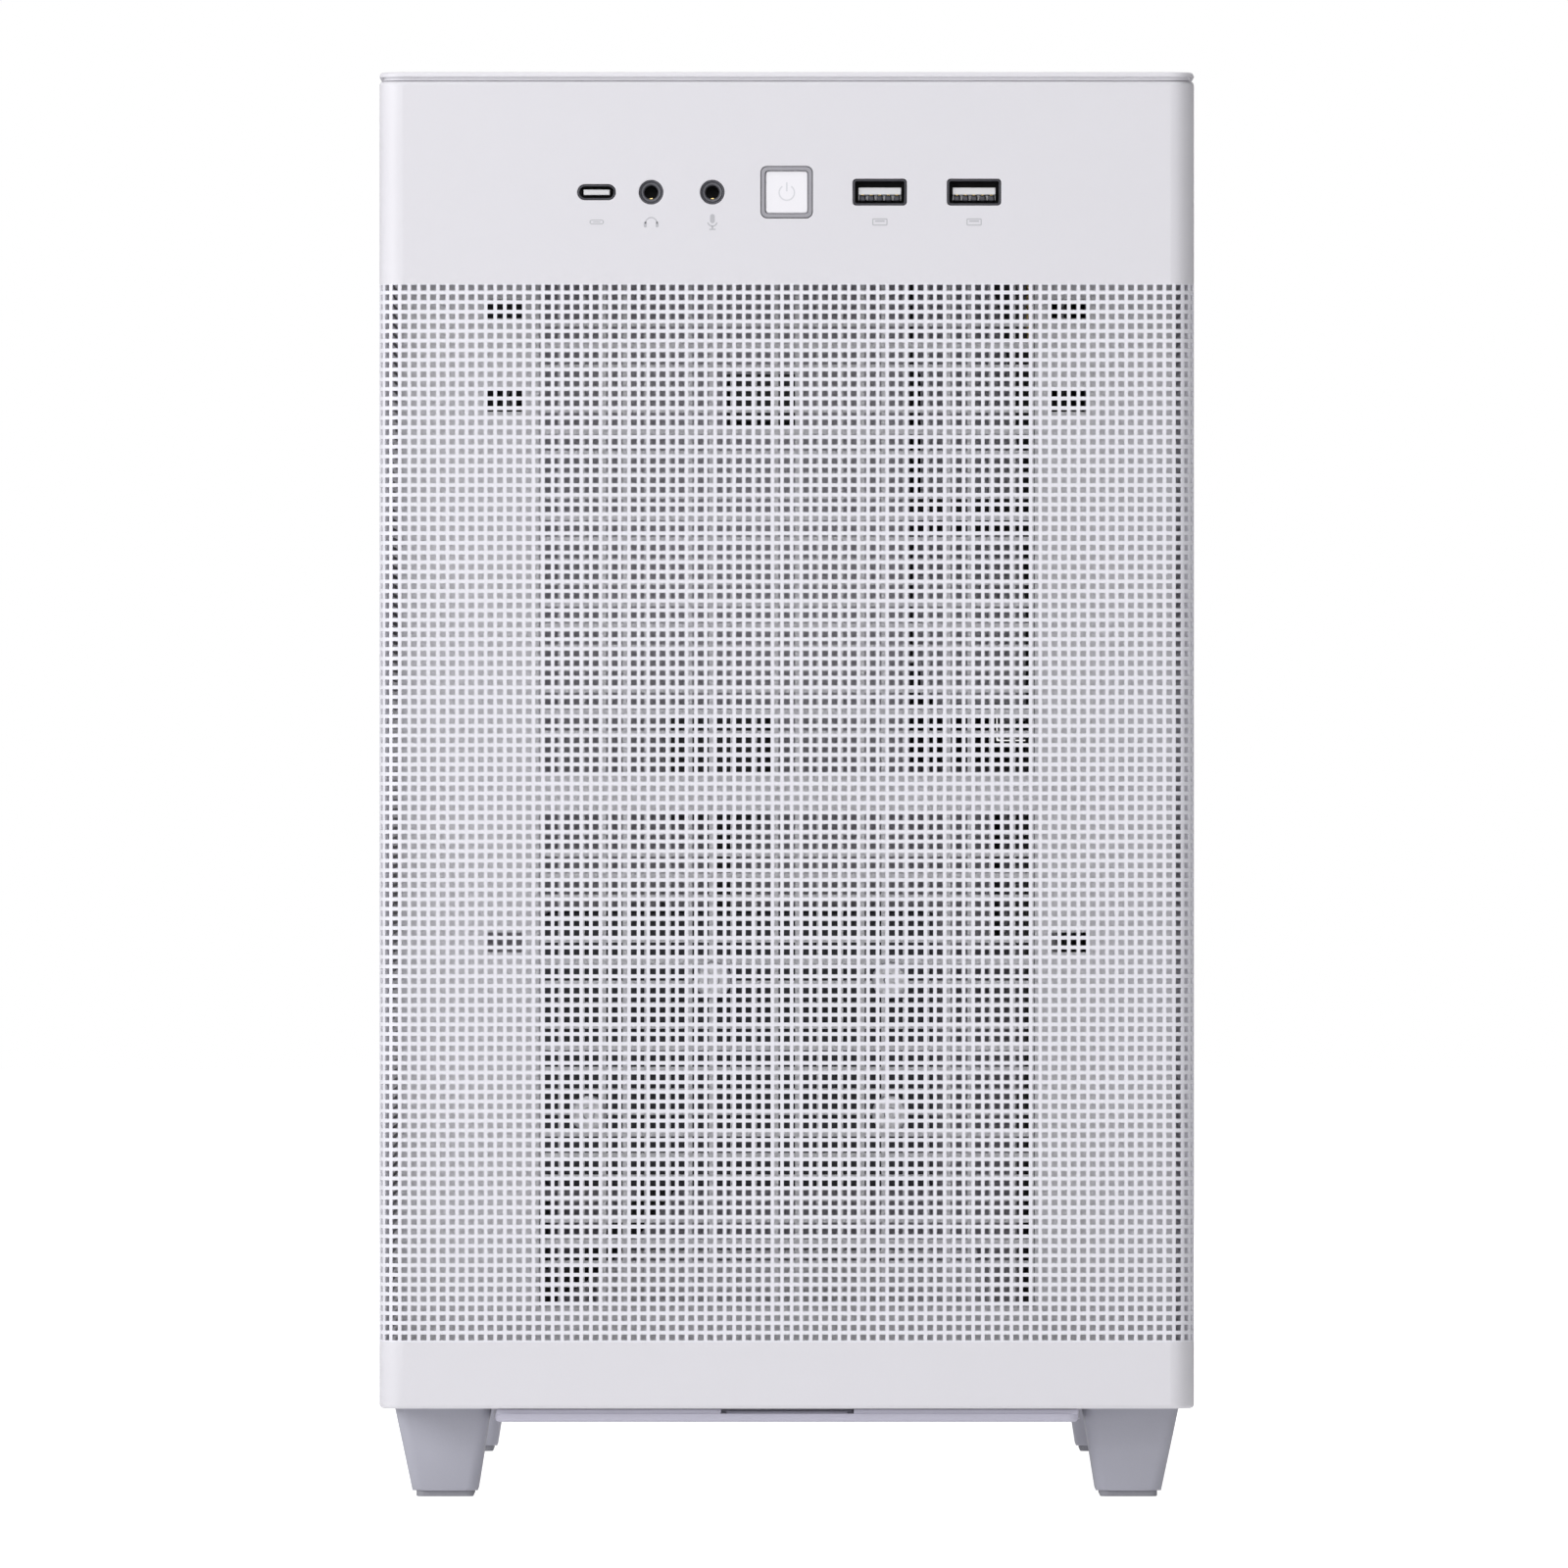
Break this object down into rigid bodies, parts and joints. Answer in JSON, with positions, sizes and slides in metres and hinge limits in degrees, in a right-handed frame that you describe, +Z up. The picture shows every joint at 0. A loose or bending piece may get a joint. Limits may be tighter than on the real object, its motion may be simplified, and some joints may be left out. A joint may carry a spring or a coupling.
{
  "type": "desktop computer tower",
  "caption": "Compact upright desktop computer tower with a perforated white steel shell, a row of front ports round a square power button, and tapered feet.",
  "frame": {"origin": "on the floor under the middle of the case, at the centre of its box seen from above", "axes": "+X right as seen from the front, +Y from the front to the rear, +Z up"},
  "size_m": [0.205, 0.46, 0.359],
  "materials": {
    "white_steel": "white powder coat, fine grain",
    "bright_steel": "nickel plated",
    "white_plastic": "fine moulded texture",
    "black_plastic": "moulded satin",
    "grey_plastic": "satin, fine moulded texture",
    "rubber": "matt",
    "filter_plastic": "satin",
    "filter_net": "fine woven net",
    "board_black": "solder mask",
    "dark_metal": "dark plated",
    "jack_plastic": "moulded ring",
    "bezel_plastic": "satin grey ring",
    "brass": "machined",
    "memory_metal": "anodised heat spreader",
    "copper": "copper, nickel plated pipes",
    "aluminium": "bare",
    "cable_sheath": "matt sheath"
  },
  "bodies": {
    "case": {"chassis_front": "white_steel", "chassis_floor": "white_steel", "chassis_top": "white_steel", "chassis_rear": "white_steel", "motherboard_tray": "white_steel", "chassis_vents": "white_steel", "panel_clips": "black_plastic", "feet": "grey_plastic", "foot_pads": "rubber", "filter_rails": "white_steel", "port_board": "board_black", "port_bracket": "black_plastic", "usb_shells": "dark_metal", "usb_tongues": "white_plastic", "audio_jacks": "jack_plastic", "button_bezel": "bezel_plastic", "power_switch": "black_plastic", "rear_fan_frame": "black_plastic", "cooler_fan_frame": "black_plastic", "supply_casing": "white_steel", "supply_fan_frame": "black_plastic", "supply_sockets": "black_plastic", "supply_bracket": "white_steel", "motherboard": "board_black", "standoffs": "brass", "board_sockets": "black_plastic", "memory_modules": "memory_metal", "rear_ports": "bright_steel", "io_shield": "dark_metal", "cooler_block": "copper", "cooler_fins": "aluminium", "card_board": "board_black", "card_heat_sink": "aluminium", "card_shroud": "white_plastic", "card_bracket": "bright_steel", "slot_covers": "white_steel", "case_screws": "bright_steel", "hard_drive": "aluminium", "drive_bracket": "white_steel", "solid_state_drive": "dark_metal", "power_inlet": "black_plastic", "extension_cord": "cable_sheath", "power_cables": "cable_sheath", "front_port_cable": "cable_sheath"},
    "front_cover": {"front_panel": "white_steel", "front_panel_studs": "white_plastic"},
    "left_cover": {"left_panel": "white_steel", "left_panel_studs": "bright_steel"},
    "right_cover": {"right_panel": "white_steel", "right_panel_studs": "bright_steel"},
    "top_cover": {"top_panel": "white_steel", "top_panel_studs": "white_plastic"},
    "dust_filter": {"filter_frame": "filter_plastic", "filter_mesh": "filter_net"},
    "power_key": {"power_button": "white_plastic"},
    "rear_rotor": {"rear_fan_rotor": "black_plastic"},
    "cooler_rotor": {"cooler_fan_rotor": "black_plastic"},
    "supply_rotor": {"supply_fan_rotor": "black_plastic"},
    "card_rotor": {"card_fan_rotor": "black_plastic"},
    "rocker": {"supply_rocker": "black_plastic"}
  },
  "joints": [
    {"name": "front_cover_pull", "type": "slide", "parent": "case", "child": "front_cover", "axis": [0, -1, 0], "range_m": [0, 0.1]},
    {"name": "left_cover_pull", "type": "slide", "parent": "case", "child": "left_cover", "axis": [-1, 0, 0], "range_m": [0, 0.14]},
    {"name": "right_cover_pull", "type": "slide", "parent": "case", "child": "right_cover", "axis": [1, 0, 0], "range_m": [0, 0.14]},
    {"name": "top_cover_lift", "type": "slide", "parent": "case", "child": "top_cover", "axis": [0, 0, 1], "range_m": [0, 0.1]},
    {"name": "dust_filter_slide", "type": "slide", "parent": "case", "child": "dust_filter", "axis": [0, -1, 0], "range_m": [0, 0.262]},
    {"name": "power_key_press", "type": "slide", "parent": "case", "child": "power_key", "axis": [0, 1, 0], "range_m": [0, 0.0012], "stiffness_N_per_m": 800, "springref_m": -0.0004},
    {"name": "rear_fan_spin", "type": "hinge", "parent": "case", "child": "rear_rotor", "pos_m": [-0.036, 0.221, 0.281], "axis": [0, -1, 0], "continuous": true},
    {"name": "cooler_fan_spin", "type": "hinge", "parent": "case", "child": "cooler_rotor", "pos_m": [-0.0216, 0.104, 0.265], "axis": [0, -1, 0], "continuous": true},
    {"name": "supply_fan_spin", "type": "hinge", "parent": "case", "child": "supply_rotor", "pos_m": [-0.034, -0.108, 0.23], "axis": [-1, 0, 0], "continuous": true},
    {"name": "card_fan_spin", "type": "hinge", "parent": "case", "child": "card_rotor", "pos_m": [0.012, 0.09, 0.15], "axis": [0, 0, 1], "continuous": true},
    {"name": "rocker_tilt", "type": "hinge", "parent": "case", "child": "rocker", "pos_m": [-0.006, -0.174, 0.277], "axis": [1, 0, 0], "range_deg": [-8, 8]}
  ]
}
